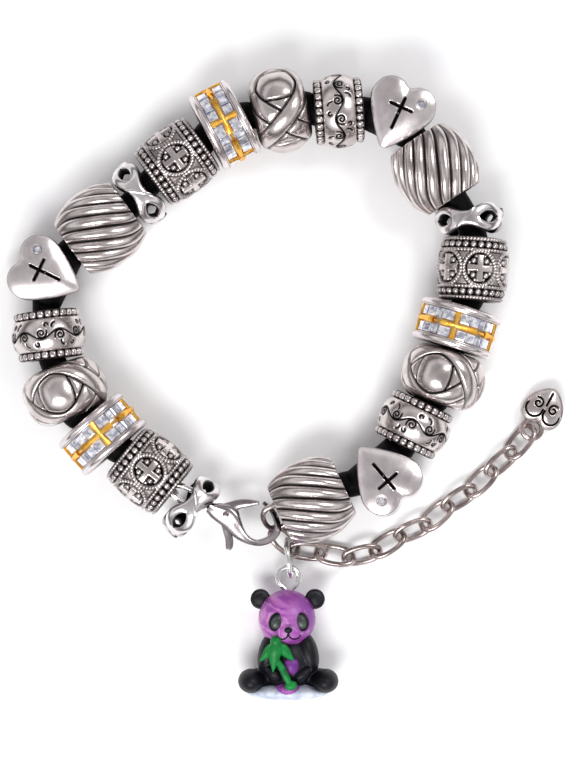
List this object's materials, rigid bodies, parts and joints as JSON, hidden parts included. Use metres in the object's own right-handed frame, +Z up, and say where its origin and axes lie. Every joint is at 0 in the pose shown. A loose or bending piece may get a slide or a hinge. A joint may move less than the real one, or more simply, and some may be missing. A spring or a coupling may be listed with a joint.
{
  "type": "beaded charm bracelet",
  "caption": "Beaded charm bracelet of patterned metal beads on a cord, with a lobster clasp, an extender chain and a panda charm.",
  "frame": {"origin": "under the middle of the whole outline, on the surface the bracelet lies on", "axes": "+Z up from the surface, +Y across the loop away from the clasp, towards the beads opposite it; the charm hangs towards -Y"},
  "size_m": [0.0842, 0.0948, 0.0128],
  "materials": {
    "antique_silver": "antiqued and polished, dark in the recesses",
    "bright_silver": "polished silver plate",
    "chain_metal": "antiqued",
    "gold_plate": "polished gold plate",
    "crystal": "clear cut stone",
    "rubber_black": "satin",
    "resin_purple": "marbled satin resin",
    "resin_navy": "satin resin",
    "resin_green": "satin resin",
    "resin_pale": "satin resin"
  },
  "bodies": {
    "bracelet": {"ichthys_1": "bright_silver", "granulated_1": "antique_silver", "two_tone_1": "antique_silver", "knot_1": "antique_silver", "scroll_1": "antique_silver", "heart_1": "antique_silver", "ribbed_1": "antique_silver", "ichthys_2": "bright_silver", "granulated_2": "antique_silver", "two_tone_2": "antique_silver", "knot_2": "antique_silver", "scroll_2": "antique_silver", "heart_2": "antique_silver", "ribbed_2": "antique_silver", "ichthys_3": "bright_silver", "granulated_3": "antique_silver", "two_tone_3": "antique_silver", "knot_3": "antique_silver", "scroll_3": "antique_silver", "heart_3": "antique_silver", "ribbed_3": "antique_silver", "core_cord": "rubber_black", "end_cap_1": "antique_silver", "end_cap_2": "antique_silver", "clasp_body": "bright_silver", "connector_link": "bright_silver", "chain_link_1": "chain_metal", "chain_link_2": "chain_metal", "chain_link_3": "chain_metal", "chain_link_4": "chain_metal", "chain_link_5": "chain_metal", "chain_link_6": "chain_metal", "chain_link_7": "chain_metal", "chain_link_8": "chain_metal", "chain_link_9": "chain_metal", "chain_link_10": "chain_metal", "chain_link_11": "chain_metal", "chain_link_12": "chain_metal", "end_heart": "chain_metal", "charm_ring": "bright_silver", "eye_pin": "bright_silver", "panda_charm": "resin_purple"},
    "clasp_lever": {"clasp_lever": "bright_silver"}
  },
  "joints": [
    {"name": "lever_hinge", "type": "hinge", "parent": "bracelet", "child": "clasp_lever", "pos_m": [-0.0089, -0.01942, 0.0064], "axis": [0, 0, 1], "range_deg": [-14, 0], "stiffness_Nm_per_rad": 0.01, "springref_deg": 17.19}
  ]
}
